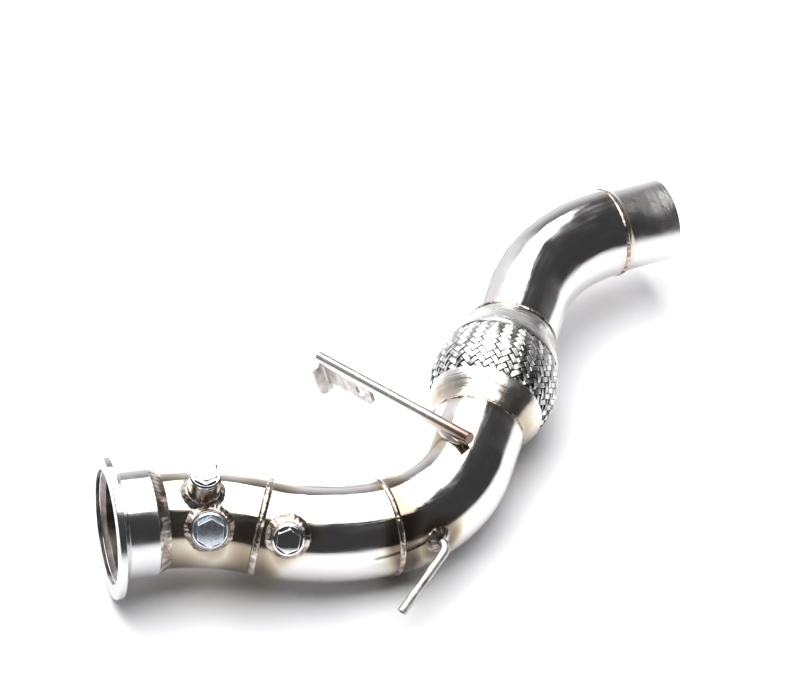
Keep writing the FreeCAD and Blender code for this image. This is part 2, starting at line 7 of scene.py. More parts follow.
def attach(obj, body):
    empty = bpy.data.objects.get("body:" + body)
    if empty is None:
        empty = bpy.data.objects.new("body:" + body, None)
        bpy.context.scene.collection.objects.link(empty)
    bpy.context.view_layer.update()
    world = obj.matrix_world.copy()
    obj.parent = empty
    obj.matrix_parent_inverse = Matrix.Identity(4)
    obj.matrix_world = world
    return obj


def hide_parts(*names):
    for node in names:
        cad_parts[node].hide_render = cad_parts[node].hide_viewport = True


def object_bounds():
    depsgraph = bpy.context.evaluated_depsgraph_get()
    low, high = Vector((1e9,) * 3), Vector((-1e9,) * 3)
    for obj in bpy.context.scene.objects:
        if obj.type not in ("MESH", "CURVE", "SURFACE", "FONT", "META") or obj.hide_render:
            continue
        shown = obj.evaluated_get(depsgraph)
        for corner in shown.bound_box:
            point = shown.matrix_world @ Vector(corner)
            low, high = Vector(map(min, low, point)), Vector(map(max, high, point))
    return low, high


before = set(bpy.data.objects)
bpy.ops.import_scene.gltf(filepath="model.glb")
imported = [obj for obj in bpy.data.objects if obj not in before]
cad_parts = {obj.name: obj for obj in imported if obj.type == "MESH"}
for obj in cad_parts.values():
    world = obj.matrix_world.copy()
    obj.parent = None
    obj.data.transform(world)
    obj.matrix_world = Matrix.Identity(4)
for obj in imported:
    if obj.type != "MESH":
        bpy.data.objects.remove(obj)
cad_low, cad_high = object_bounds()

# Inlet flange: one stainless turning, a thin lip whose conical back takes the clamp ring, on
# a thick collar. The lathe leaves fine rings round the axis, and the face and the mouth's
# steps are brighter than the bore, which stays in its own shade.
MM = 0.001


def linear(colour):
    """An sRGB hex colour as the linear values that a shader takes."""
    parts = [int(colour[place:place + 2], 16) / 255 for place in (1, 3, 5)]
    return [p / 12.92 if p <= 0.04045 else ((p + 0.055) / 1.055) ** 2.4 for p in parts] + [1.0]


def add_node(tree, kind, links=None, **settings):
    """Adds a node with its settings; links gives its sockets a value or another socket."""
    made = tree.nodes.new(kind)
    for name, value in settings.items():
        setattr(made, name, value)
    for name, value in (links or {}).items():
        if isinstance(value, bpy.types.NodeSocket):
            tree.links.new(value, made.inputs[name])
        else:
            made.inputs[name].default_value = value
    return made


def metal(name, colour, roughness):
    """A new metal whose shader has these constants, its tree, its shader and a point's place."""
    material = bpy.data.materials.new(name)
    material.use_nodes = True
    shader = material.node_tree.nodes["Principled BSDF"]
    shader.inputs["Metallic"].default_value = 1.0
    shader.inputs["Base Color"].default_value = linear(colour)
    shader.inputs["Roughness"].default_value = roughness
    place = add_node(material.node_tree, "ShaderNodeTexCoord").outputs["Object"]
    return material, material.node_tree, shader, place


def join_in(tree, output, shader, socket):
    """Feeds one of the shader's sockets."""
    tree.links.new(output, shader.inputs[socket])


def reckon(tree, operation, *values):
    """One step of arithmetic on values or sockets."""
    return add_node(tree, "ShaderNodeMath", dict(enumerate(values)), operation=operation).outputs[0]


def spread(tree, value, source, target=(0.0, 1.0), smooth=False):
    """Carries one range of a value over to another."""
    return add_node(tree, "ShaderNodeMapRange", {
        "Value": value, "From Min": source[0], "From Max": source[1], "To Min": target[0], "To Max": target[1]},
        interpolation_type="SMOOTHSTEP" if smooth else "LINEAR").outputs[0]


def speckle(tree, place, scale, detail):
    """Uneven blotches, so many to a metre."""
    return add_node(tree, "ShaderNodeTexNoise", {"Vector": place, "Scale": scale, "Detail": detail}).outputs["Fac"]


def ring_noise(tree, along, scale, detail):
    """Uneven rings round an axis, so many to a metre of it."""
    return add_node(tree, "ShaderNodeTexNoise", {"W": along, "Scale": scale, "Detail": detail},
                    noise_dimensions="1D").outputs["Fac"]


def along_axis(tree, place, heading):
    """How far a place lies in a direction, in metres."""
    return add_node(tree, "ShaderNodeVectorMath", {0: place, 1: heading}, operation="DOT_PRODUCT").outputs["Value"]


def tones(tree, level, *stops):
    """The colour of a ramp whose stops are given from low to high."""
    ramp = add_node(tree, "ShaderNodeValToRGB", {"Fac": level})
    (low, first), *between, (high, last) = stops
    ends = ramp.color_ramp.elements
    ends[0].position, ends[1].position = low, high
    ends[0].color, ends[1].color = linear(first), linear(last)
    for position, colour in between:
        ramp.color_ramp.elements.new(position).color = linear(colour)
    return ramp.outputs["Color"]


def raise_skin(tree, shader, height, strength, distance):
    """Lets the light play on a skin as uneven as the height says, in metres."""
    skin = add_node(tree, "ShaderNodeBump", {"Height": height, "Strength": strength, "Distance": distance})
    join_in(tree, skin.outputs[0], shader, "Normal")


def smooth_piece(name, bevel=0.0, crease=32):
    """Ends the edit of a piece: its normals face outwards and its edges are eased."""
    bpy.ops.mesh.select_all(action="SELECT")
    bpy.ops.mesh.remove_doubles(threshold=0.00001)
    bpy.ops.mesh.normals_make_consistent(inside=False)
    bpy.ops.object.mode_set(mode="OBJECT")
    piece = bpy.context.object
    piece.name = name
    piece.data.name = name
    bpy.ops.object.shade_smooth_by_angle(angle=math.radians(crease))
    if bevel:
        eased = piece.modifiers.new("Eased", "BEVEL")
        eased.width = bevel * MM
        eased.segments = 2
        eased.limit_method = "ANGLE"
        eased.angle_limit = math.radians(32)
        eased.harden_normals = True
        bpy.ops.object.modifier_apply(modifier="Eased")
    return piece


def turned(name, seat, outline, steps=160, bevel=0.0, crease=32):
    """Turns a half outline (along, out) in millimetres about the seat's X axis."""
    bpy.ops.object.select_all(action="DESELECT")
    mesh = bpy.data.meshes.new(name)
    count = len(outline)
    mesh.from_pydata([(x * MM, 0, y * MM) for x, y in outline],
                     [(i, (i + 1) % count) for i in range(count)], [])
    piece = bpy.data.objects.new(name, mesh)
    bpy.context.collection.objects.link(piece)
    bpy.context.view_layer.objects.active = piece
    piece.select_set(True)
    bpy.ops.object.mode_set(mode="EDIT")
    bpy.ops.mesh.select_all(action="SELECT")
    bpy.ops.mesh.spin(steps=steps, angle=math.tau, center=(0, 0, 0), axis=(1, 0, 0))
    piece = smooth_piece(name, bevel, crease)
    piece.data.transform(seat)
    return piece


def seat_piece(piece, material, slot, *nodes):
    """Gives the piece its finish and lets it stand for its solid."""
    piece.data.materials.clear()
    piece.data.materials.append(material)
    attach(piece, "root")
    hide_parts(*nodes)


# as the pipe lies, its inlet dips and its plane of bends is rolled by these degrees
DIP, ROLL = 3.26, 9.21
LIP_RADIUS, LIP_THICKNESS, CONE_END = 47.5, 4.6, 9.0
COLLAR_RADIUS, COLLAR_LENGTH = 36.0, 28.5
SEAT_RADIUS, SEAT_DEPTH, THROAT_RADIUS, BORE_RADIUS = 37.5, 3.0, 33.0, 30.25
inlet_seat = Matrix.Rotation(math.radians(DIP), 4, "Y") @ Matrix.Rotation(math.radians(ROLL), 4, "X")
inlet_axis = inlet_seat.to_3x3() @ Vector((1, 0, 0))
flange = turned("flange", inlet_seat, [
    (0, SEAT_RADIUS), (0, LIP_RADIUS - 0.6), (0.6, LIP_RADIUS), (LIP_THICKNESS, LIP_RADIUS),
    (CONE_END, COLLAR_RADIUS), (COLLAR_LENGTH, COLLAR_RADIUS), (COLLAR_LENGTH, BORE_RADIUS),
    (20, BORE_RADIUS), (16, THROAT_RADIUS), (6, THROAT_RADIUS), (SEAT_DEPTH, SEAT_RADIUS)], bevel=0.35)

# turned stainless: a bright face whose gleam is drawn out round the axis, with a few dull smears
turned_steel, tree, shader, place = metal("turned stainless", "#d4d3d3", 0.16)
rings = ring_noise(tree, along_axis(tree, place, inlet_axis), 2600.0, 3.0)
smears = speckle(tree, place, 55.0, 4.0)
mixed = reckon(tree, "MULTIPLY_ADD", rings, 0.25, smears)
rough = spread(tree, mixed, (0.4, 0.9), (0.10, 0.24))
join_in(tree, rough, shader, "Roughness")
raise_skin(tree, shader, rings, 0.25, 0.00003)

# bore: dull, with a brown-grey heat stain in uneven patches, and painted shade that keeps it darker than the face,
# over coarse turning
shaded_bore_steel, tree, shader, place = metal("bore, heat stain and painted shade", "#8c857f", 0.34)
stains = speckle(tree, place, 70.0, 4.0)
tone = tones(tree, stains, (0.35, "#5f5955"), (0.7, "#a39c97"))
join_in(tree, tone, shader, "Base Color")
rings = ring_noise(tree, along_axis(tree, place, inlet_axis), 1800.0, 2.0)
raise_skin(tree, shader, rings, 0.4, 0.00008)
seat_piece(flange, turned_steel, "turned_steel", "inlet_flange")
flange.data.materials.append(shaded_bore_steel)
# the faces inside the mouth take the darker bore finish, partly painted shade
to_axis = inlet_seat.inverted()
for face in flange.data.polygons:
    middle = to_axis @ face.center
    inward = to_axis.to_3x3() @ face.normal
    if math.hypot(middle.y, middle.z) < (SEAT_RADIUS - 0.2) * MM and inward.y * middle.y + inward.z * middle.z < 0:
        face.material_index = 1

# Polished tubes: mandrel-bent stainless of 63.5 mm, buffed to a mirror that still shows the
# slow waves of the bend. The welding left straw and brown bands on both sides of each joint.
TUBE, WALL = 63.5, 1.5
LEFT, RIGHT = 1, -1
# each bend's radius, its degrees and the side that it turns to, and the straight runs beside two
FIRST_BEND, SECOND_BEND = (172.0, 24.5, RIGHT), (152.0, 31.0, LEFT)
MAIN_BEND, LAST_BEND = (90.0, 53.0, LEFT), (116.0, 50.0, RIGHT)
MAIN_RUN, LAST_RUN = 31.5, 33.0
LOWER_CAP, BRAID, UPPER_CAP = 21.0, 44.0, 25.5


def ahead(length):
    """The way along a straight run."""
    return Matrix.Translation((length * MM, 0, 0))


def bend(radius, degrees, side):
    """The way round a bend, from its start to its end."""
    angle = math.radians(degrees)
    end = Vector((radius * math.sin(angle), side * radius * (1 - math.cos(angle)), 0)) * MM
    return Matrix.Translation(end) @ Matrix.Rotation(side * angle, 4, "Z")


def skin_maps(piece, run_in, radius, degrees, side):
    """Keeps where each corner lies in the tube's section and how far along it, in tenths of a metre."""
    onward = bend(radius, degrees, side).inverted()
    places = []
    for vertex in piece.data.vertices:
        ahead_of = vertex.co.x - run_in * MM
        lateral, length = vertex.co.y, vertex.co.x
        if ahead_of > 0:
            beside = radius * MM - side * vertex.co.y
            swung = math.atan2(ahead_of, beside)
            lateral = side * (radius * MM - math.hypot(ahead_of, beside))
            length = (run_in + radius * swung) * MM
            if swung > math.radians(degrees):
                past = onward @ (vertex.co - Vector((run_in * MM, 0, 0)))
                lateral, length = past.y, past.x + (run_in + radius * math.radians(degrees)) * MM
        places.append((lateral, vertex.co.z, length))
    section = piece.data.uv_layers.new(name="Section")
    reach = piece.data.uv_layers.new(name="Length")
    for loop in piece.data.loops:
        lateral, height, length = places[loop.vertex_index]
        section.data[loop.index].uv = (lateral * 10, height * 10)
        reach.data[loop.index].uv = (length * 10, 0)


def bent_tube(name, seat, run_in, radius, degrees, side, run_out, outer=TUBE, wall=WALL, around=128):
    """A round section drawn along a straight run, swung round the bend, and drawn on."""
    bpy.ops.object.select_all(action="DESELECT")
    bpy.ops.mesh.primitive_circle_add(vertices=around, radius=outer / 2 * MM, fill_type="NOTHING",
                                      rotation=(0, math.pi / 2, 0))
    bpy.ops.object.transform_apply(location=True, rotation=True, scale=True)
    bpy.ops.object.mode_set(mode="EDIT")
    bpy.ops.mesh.select_all(action="SELECT")
    if run_in:
        bpy.ops.mesh.extrude_region_move(TRANSFORM_OT_translate={"value": (run_in * MM, 0, 0)})
    steps = max(6, round(degrees / 1.2))
    bpy.ops.mesh.spin(steps=steps, angle=math.radians(degrees),
                      center=(run_in * MM, side * radius * MM, 0), axis=(0, 0, -side))
    if run_out:
        heading = bend(radius, degrees, side).to_3x3() @ Vector((run_out * MM, 0, 0))
        bpy.ops.mesh.extrude_region_move(TRANSFORM_OT_translate={"value": heading})
    bpy.ops.mesh.select_all(action="SELECT")
    bpy.ops.mesh.remove_doubles(threshold=0.00001)
    bpy.ops.mesh.normals_make_consistent(inside=False)
    bpy.ops.object.mode_set(mode="OBJECT")
    piece = bpy.context.object
    piece.name = piece.data.name = name
    # an open tube has no inside of its own, so its first face says which way it points
    face = piece.data.polygons[0]
    spoke = Vector((0, face.center.y, face.center.z))
    if face.normal.dot(spoke) < 0:
        piece.data.flip_normals()
    shell = piece.modifiers.new("Wall", "SOLIDIFY")
    shell.thickness = wall * MM
    shell.offset = -1
    bpy.ops.object.modifier_apply(modifier="Wall")
    bpy.ops.object.shade_smooth_by_angle(angle=math.radians(32))
    skin_maps(piece, run_in, radius, degrees, side)
    piece.data.transform(seat)
    return piece


def polished(name, joints, roughness=0.07, spots=(), drawn=True):
    """Buffed stainless. Each joint is a seat, how far its heat tint reaches in millimetres
    before and after it, and how strong the tint is. Each spot is a place, a reach, a strength."""
    material, tree, shader, place = metal(name, "#dedcda", roughness)
    patches = speckle(tree, place, 60.0, 3.0)
    drift = speckle(tree, place, 32.0, 1.0)
    wander = spread(tree, drift, (0.25, 0.75), (-6 * MM, 6 * MM))
    tint = None
    for seat, before, after, strength in joints:
        heading = seat.to_3x3() @ Vector((1, 0, 0))
        offset = reckon(tree, "SUBTRACT", along_axis(tree, place, heading), heading.dot(seat.translation))
        offset = reckon(tree, "ADD", offset, wander)
        for reach, sign in ((before, -1), (after, 1)):
            if not reach:
                continue
            band = spread(tree, offset, (sign * reach * MM, sign * 2.5 * MM), (0.0, strength), smooth=True)
            side = reckon(tree, "GREATER_THAN" if sign > 0 else "LESS_THAN", offset, -sign * 3 * MM)
            band = reckon(tree, "MULTIPLY", band, side)
            tint = band if tint is None else reckon(tree, "MAXIMUM", tint, band)
    for spot, reach, strength in spots:
        away = add_node(tree, "ShaderNodeVectorMath", {0: place, 1: spot}, operation="DISTANCE").outputs["Value"]
        away = reckon(tree, "ADD", away, wander)
        band = spread(tree, away, (reach * MM, reach * 0.45 * MM), (0.0, strength), smooth=True)
        tint = band if tint is None else reckon(tree, "MAXIMUM", tint, band)
    if tint is not None:
        # the heat tint fades towards the top, so the top is painted lighter as the lit side, and the tint is
        # strongest lower down
        height = add_node(tree, "ShaderNodeSeparateXYZ", {"Vector": place}).outputs["Z"]
        share = spread(tree, height, (-15 * MM, 30 * MM), (0.85, 0.42))
        tint = reckon(tree, "MULTIPLY", tint, share)
        tone = tones(tree, tint, (0.0, "#dedcda"), (0.25, "#d2cbbb"), (0.55, "#a99e8c"), (0.8, "#7d7163"),
                     (1.0, "#574e45"))
        join_in(tree, tone, shader, "Base Color")
    # slow waves left by the bending, about 35 mm from crest to crest, shallow dents of 9 mm and
    # fine buffing haze
    waves = speckle(tree, place, 28.0, 1.0)
    haze = speckle(tree, place, 420.0, 2.0)
    height = reckon(tree, "MULTIPLY_ADD", haze, 0.012, waves)
    dents = speckle(tree, place, 110.0, 2.0)
    height = reckon(tree, "MULTIPLY_ADD", dents, 0.07, height)
    if drawn:
        # streaks that the bending drew along the tube, about 1.5 mm from one to the next
        section = add_node(tree, "ShaderNodeUVMap", uv_map="Section").outputs["UV"]
        section = add_node(tree, "ShaderNodeSeparateXYZ", {"Vector": section})
        length = add_node(tree, "ShaderNodeUVMap", uv_map="Length").outputs["UV"]
        length = add_node(tree, "ShaderNodeSeparateXYZ", {"Vector": length}).outputs["X"]
        length = reckon(tree, "MULTIPLY", length, 0.06)
        skin = add_node(tree, "ShaderNodeCombineXYZ", {"X": section.outputs["X"], "Y": section.outputs["Y"],
                                                       "Z": length}).outputs[0]
        streaks = speckle(tree, skin, 65.0, 3.0)
        height = reckon(tree, "MULTIPLY_ADD", streaks, 0.03, height)
    raise_skin(tree, shader, height, 0.6, 0.0012)
    worn = patches
    if drawn:
        worn = reckon(tree, "MULTIPLY", streaks, patches)
        worn = reckon(tree, "MULTIPLY", worn, 2.0)
    sheen = spread(tree, worn, (0.3, 0.75), (roughness, roughness * 2.6))
    join_in(tree, sheen, shader, "Roughness")
    return material


def on_tube(tube_bend, along, roll):
    """A spot so far along a bend and so many degrees round it from the top."""
    radius, degrees, side = tube_bend
    return bend(radius, math.degrees(along / radius), side) @ Matrix.Rotation(math.radians(-roll), 4, "X")


pipe_1_seat = inlet_seat @ ahead(COLLAR_LENGTH)
pipe_2_seat = pipe_1_seat @ bend(*FIRST_BEND)
pipe_3_seat = pipe_2_seat @ bend(*SECOND_BEND)
flex_seat = pipe_3_seat @ bend(*MAIN_BEND) @ ahead(MAIN_RUN)
pipe_4_seat = flex_seat @ ahead(LOWER_CAP + BRAID + UPPER_CAP)
outlet_seat = pipe_4_seat @ ahead(LAST_RUN) @ bend(*LAST_BEND)

upper_spot = on_tube(FIRST_BEND, 32.2, -2.5)
lambda_spot = on_tube(FIRST_BEND, 37.3, -47.0)
lower_spot = on_tube(SECOND_BEND, 16.7, -43.0)
pressure_spot = on_tube(MAIN_BEND, 19.7, -68.5)
rod_spot = on_tube(MAIN_BEND, 79.8, 22.9)


def foot_on(seat, spot):
    """Where a boss, a pipe or the hanger meets the outside of its tube."""
    return (seat @ spot @ Matrix.Translation((0, 0, TUBE / 2 * MM))).translation


# beside each weld the steel is straw, then brown, which fades out over these millimetres
pipe_1 = bent_tube("tube_1", pipe_1_seat, 0, *FIRST_BEND, 0)
pipe_1_finish = polished(
    "first tube, polished", [(pipe_1_seat, 0, 48, 1.0), (pipe_2_seat, 34, 0, 1.0)],
    spots=[(foot_on(pipe_1_seat, upper_spot), 28, 0.9), (foot_on(pipe_1_seat, lambda_spot), 30, 0.9)])
seat_piece(pipe_1, pipe_1_finish, "polished_tube", "pipe_1")
pipe_2 = bent_tube("tube_2", pipe_2_seat, 0, *SECOND_BEND, 0)
pipe_2_finish = polished(
    "second tube, polished", [(pipe_2_seat, 0, 22, 1.0), (pipe_3_seat, 16, 0, 1.1)],
    spots=[(foot_on(pipe_2_seat, lower_spot), 26, 0.95)])
seat_piece(pipe_2, pipe_2_finish, "polished_tube", "pipe_2")
pipe_3 = bent_tube("tube_3", pipe_3_seat, 0, *MAIN_BEND, MAIN_RUN)
pipe_3_finish = polished(
    "main bend, polished", [(pipe_3_seat, 0, 25, 1.25), (flex_seat, 9, 0, 0.6)],
    spots=[(foot_on(pipe_3_seat, pressure_spot), 22, 1.0), (foot_on(pipe_3_seat, rod_spot), 20, 0.7)])
seat_piece(pipe_3, pipe_3_finish, "polished_tube", "pipe_3")
pipe_4 = bent_tube("tube_4", pipe_4_seat, LAST_RUN, *LAST_BEND, 0)
pipe_4_finish = polished("fourth tube, polished", [(outlet_seat, 8, 0, 0.4)])
seat_piece(pipe_4, pipe_4_finish, "polished_tube", "pipe_4")

# Ring welds: a bead of filler laid round each butt joint of the tubes. Each pass of the torch
# froze as a crescent, and the bead is duller and browner than the metal that it joins.


def bead_outline(inner, width, rise):
    """The arched half outline of a bead that lies on a surface of that radius."""
    points = 7
    arch = [(width * (i / points - 0.5), inner + rise * math.sin(math.pi * i / points))
            for i in range(points + 1)]
    return [(-width / 2, inner - 0.5)] + arch + [(width / 2, inner - 0.5)]


def ripple(piece, count, depth, middle, reach):
    """Raises uneven crescents round a bead that was turned about X, deepest at its middle."""
    for vertex in piece.data.vertices:
        along = (vertex.co.x / MM - middle) / reach
        turn = math.atan2(vertex.co.z, vertex.co.y)
        uneven = noise.noise(vertex.co * 160)
        wave = 0.5 * math.cos((count + 2 * uneven) * turn + 2.2 * along * along) + 1.6 * uneven
        out = math.hypot(vertex.co.y, vertex.co.z)
        grown = (out + depth * MM * wave * max(0.0, 1 - along * along)) / out
        vertex.co.y *= grown
        vertex.co.z *= grown


# weld metal: duller than the tubes and gritty, mottled in browns and greys
weld_metal, tree, shader, place = metal("weld bead, as laid", "#a49a90", 0.24)
scorch = speckle(tree, place, 170.0, 5.0)
tone = tones(tree, scorch, (0.36, "#6d625b"), (0.5, "#a4988d"), (0.64, "#d6d1cb"))
join_in(tree, tone, shader, "Base Color")
grit = speckle(tree, place, 700.0, 3.0)
raise_skin(tree, shader, grit, 0.45, 0.0004)
for name, node, seat, width in (
        ("bead_1", "weld_1", pipe_2_seat, 5.0), ("bead_2", "weld_2", pipe_3_seat, 4.2),
        ("bead_3", "weld_3", flex_seat, 2.6), ("bead_4", "weld_4", pipe_4_seat, 2.8),
        ("bead_5", "weld_5", outlet_seat, 3.2)):
    bead = turned(name, Matrix.Identity(4), bead_outline(TUBE / 2, width, 0.24 * width), steps=288, crease=80)
    ripple(bead, 62, 0.16, 0, width / 2)
    bead.data.transform(seat)
    seat_piece(bead, weld_metal, "weld", node)

# Inlet weld: a wide filler fillet from the collar's end down to the first tube, the most
# heated joint of the pipe, so it is straw and brown all round.
inlet_bead = turned("inlet_bead", Matrix.Identity(4), [
    (-0.5, 31.2), (-0.5, 35.7), (0.6, 35.4), (2.0, 34.6), (3.6, 33.6), (5.4, 32.7), (7.2, 32.1),
    (8.0, 31.8), (8.0, 31.2)], steps=288, crease=60)
ripple(inlet_bead, 58, 0.22, 3, 5)
inlet_bead.data.transform(pipe_1_seat)
seat_piece(inlet_bead, weld_metal, "weld", "inlet_weld")

# Sensor bosses: turned steel bungs let into the first two tubes, each with a lumpy bead
# round its foot. Bright chromed hexagon plugs close the upper and the lower one, and a blue-grey
# zinc plug closes the wide, low lambda boss.
X_UP = Matrix.Rotation(math.radians(-90), 4, "Y")
# a boss or a pipe is let in as far as this from the tube's axis
LET_IN = TUBE / 2 - 3.0
BOSS, WIDE_BOSS = 21.5, 25.5

# turned boss steel: plain grey with straw stains from the weld's heat
boss_steel, tree, shader, place = metal("turned boss steel", "#b9b3ac", 0.22)
stain = speckle(tree, place, 90.0, 3.0)
tone = tones(tree, stain, (0.35, "#9b8c80"), (0.65, "#d0ccc7"))
join_in(tree, tone, shader, "Base Color")

# bright chrome: all but a mirror, with small scuffs
chrome, tree, shader, place = metal("bright plug chrome", "#e2e2e3", 0.06)
marks = speckle(tree, place, 500.0, 2.0)
worn = spread(tree, marks, (0.45, 0.75), (0.05, 0.2))
join_in(tree, worn, shader, "Roughness")

# zinc plate: pale blue-grey, satin and finely pitted
zinc, tree, shader, place = metal("zinc plate, blue passivated", "#d5dce3", 0.3)
grain = speckle(tree, place, 700.0, 3.0)
tone = tones(tree, grain, (0.35, "#b6c0ca"), (0.7, "#e9eff4"))
join_in(tree, tone, shader, "Base Color")
raise_skin(tree, shader, grain, 0.4, 0.0002)

# the zinc plug's top: darker and coarse like sand
zinc_top, tree, shader, place = metal("zinc plate, grainy top", "#6f757b", 0.5)
grain = speckle(tree, place, 1100.0, 2.0)
tone = tones(tree, grain, (0.38, "#50565c"), (0.66, "#a4abb1"))
join_in(tree, tone, shader, "Base Color")
raise_skin(tree, shader, grain, 0.7, 0.0003)


def saddle_bead(name, node, tube_seat, spot, inner, width, rise, lumps):
    """A bead turned round a boss, then bent down over the tube with lumps left by the torch."""
    base = TUBE / 2
    bead = turned(name, Matrix.Identity(4), [
        (base - 3, inner - 0.6), (base + rise, inner - 0.6), (base + rise, inner + 0.3),
        (base + rise * 0.72, inner + width * 0.32), (base + rise * 0.4, inner + width * 0.6),
        (base + rise * 0.1, inner + width * 0.86), (base - 0.4, inner + width), (base - 3, inner + width),
    ], steps=180, crease=75)
    for vertex in bead.data.vertices:
        out = math.hypot(vertex.co.y, vertex.co.z) / MM
        turn = math.atan2(vertex.co.y, vertex.co.z)
        # X is up here, and the tube runs along the bead's own Z
        across = out * math.sin(turn)
        drop = base - math.sqrt(max(0.0, base * base - across * across))
        share = max(0.0, min(1.0, (out - inner) / width))
        lump = 0.3 * math.cos(lumps * turn) + 1.5 * noise.noise(vertex.co * 110 + tube_seat.translation * 900)
        vertex.co.x += (lump * 0.4 * math.sin(math.pi * share) - drop) * MM
        widened = 1 + lump * 0.03 * share
        vertex.co.y *= widened
        vertex.co.z *= widened
    bead.data.transform(tube_seat @ spot @ X_UP)
    seat_piece(bead, weld_metal, "weld", node)


def boss_with_plug(prefix, tube_seat, spot, height, across, thread, collar, hexagon, finish, slot, node):
    """The bung, and its plug with a round collar and a hexagon head whose top is set in."""
    seat = tube_seat @ spot @ X_UP
    top = TUBE / 2 + height
    bung = turned(prefix + "_bung", seat, [
        (LET_IN, thread / 2), (LET_IN, across / 2), (top, across / 2), (top, thread / 2)], steps=96, bevel=0.7)
    seat_piece(bung, boss_steel, "boss_steel", node + "_boss")
    width, thick = collar
    wide, tall = hexagon
    plug = turned(prefix + "_plug", Matrix.Identity(4), [
        (LET_IN, 0), (LET_IN, thread / 2 - 0.15), (top, thread / 2 - 0.15), (top, width / 2),
        (top + thick * 0.6, width / 2), (top + thick, width / 2 - 1.1), (top + thick, 0)], steps=96, bevel=0.2)
    bpy.ops.object.select_all(action="DESELECT")
    bpy.ops.mesh.primitive_cylinder_add(vertices=6, radius=wide / math.sqrt(3) * MM, depth=(tall + 1) * MM,
                                        location=((top + thick + tall / 2 - 1) * MM, 0, 0),
                                        rotation=(math.radians(8), math.pi / 2, 0))
    bpy.ops.object.transform_apply(location=True, rotation=True, scale=True)
    head = bpy.context.object
    bpy.ops.object.mode_set(mode="EDIT")
    bpy.ops.mesh.select_all(action="DESELECT")
    bpy.ops.object.mode_set(mode="OBJECT")
    for face in head.data.polygons:
        face.select = face.normal.x > 0.9
    bpy.ops.object.mode_set(mode="EDIT")
    bpy.ops.mesh.select_mode(type="FACE")
    bpy.ops.mesh.inset(thickness=wide * 0.07 * MM, depth=0.0)
    bpy.ops.transform.translate(value=(0.5 * MM, 0, 0))
    smooth_piece(prefix + "_head", bevel=0.35)
    plug.select_set(True)
    bpy.context.view_layer.objects.active = plug
    bpy.ops.object.join()
    plug.data.transform(seat)
    seat_piece(plug, finish, slot, node + "_plug")


boss_with_plug("upper", pipe_1_seat, upper_spot, 16.5, BOSS, 14, (21.0, 2.8), (14.5, 5.5),
               chrome, "plug_steel", "upper")
boss_with_plug("wide", pipe_1_seat, lambda_spot, 6.0, WIDE_BOSS, 18, (23.5, 2.4), (17.0, 7.0),
               zinc, "plug_zinc", "lambda")
wide_plug = bpy.data.objects["wide_plug"]
wide_plug.data.materials.append(zinc_top)
outwards = (pipe_1_seat @ lambda_spot).to_3x3() @ Vector((0, 0, 1))
crest = max(outwards.dot(face.center) for face in wide_plug.data.polygons)
for face in wide_plug.data.polygons:
    if face.normal.dot(outwards) > 0.98 and outwards.dot(face.center) > crest - 0.3 * MM:
        face.material_index = 1
boss_with_plug("lower", pipe_2_seat, lower_spot, 16.5, BOSS, 14, (20.5, 2.8), (14.5, 5.5),
               chrome, "plug_steel", "lower")
saddle_bead("upper_bead", "upper_boss_weld", pipe_1_seat, upper_spot, BOSS / 2, 4.2, 3.0, 21)
saddle_bead("wide_bead", "lambda_boss_weld", pipe_1_seat, lambda_spot, WIDE_BOSS / 2, 4.2, 3.0, 25)
saddle_bead("lower_bead", "lower_boss_weld", pipe_2_seat, lower_spot, BOSS / 2, 4.2, 3.0, 22)

# Pressure pipe: a thin drawn tube that leaves the main bend from underneath, turns in its own
# length and ends open, where a hose is pushed on. Its foot has a bead round it.
HOSE_END, HOSE_WALL = 6.3, 1.35

# drawn steel: satin grey in light and dark streaks, with no clear reflections
drawn_steel, tree, shader, place = metal("drawn steel, satin", "#c0bdb9", 0.32)
streak = speckle(tree, place, 160.0, 4.0)
tone = tones(tree, streak, (0.35, "#a39c96"), (0.7, "#d8d5d2"))
join_in(tree, tone, shader, "Base Color")
sheen = spread(tree, streak, (0.3, 0.7), (0.36, 0.55))
join_in(tree, sheen, shader, "Roughness")

pressure_seat = (pipe_3_seat @ pressure_spot @ Matrix.Rotation(math.radians(115.5), 4, "Z")
                 @ Matrix.Translation((0, 0, LET_IN * MM)) @ X_UP)
hose_pipe = bent_tube("hose_pipe", pressure_seat, 7.0, 8.0, 76.5, LEFT, 47.0,
                      outer=HOSE_END, wall=HOSE_WALL, around=48)
seat_piece(hose_pipe, drawn_steel, "rod_steel", "pressure_pipe")
saddle_bead("hose_bead", "pressure_weld", pipe_3_seat, pressure_spot, HOSE_END / 2, 6.6, 3.4, 9)

# Flex joint: two spun caps of stainless sheet hold a woven sleeve of flat wire, which hides a
# folded bellows and a liner. The caps are buffed, and their edges stand proud of the sleeve.
SKIRT_RADIUS, CAP_WALL = 39.5, 1.2

# spun cap: polished, tinted beside its weld, with uneven rings round it from the spinning
cap_finish = polished("spun cap, buffed", [(flex_seat, 0, 24, 0.75)], roughness=0.14, drawn=False)
tree = cap_finish.node_tree
shader = tree.nodes["Principled BSDF"]
flex_axis = flex_seat.to_3x3() @ Vector((1, 0, 0))
place = add_node(tree, "ShaderNodeTexCoord").outputs["Object"]
offset = add_node(tree, "ShaderNodeVectorMath", {0: place, 1: flex_seat.translation},
                  operation="SUBTRACT").outputs[0]
along = along_axis(tree, offset, flex_axis)
shift = add_node(tree, "ShaderNodeVectorMath", {0: flex_axis, "Scale": along}, operation="SCALE").outputs[0]
beside = add_node(tree, "ShaderNodeVectorMath", {0: offset, 1: shift}, operation="SUBTRACT").outputs[0]
spoke = add_node(tree, "ShaderNodeVectorMath", {0: beside}, operation="NORMALIZE").outputs[0]
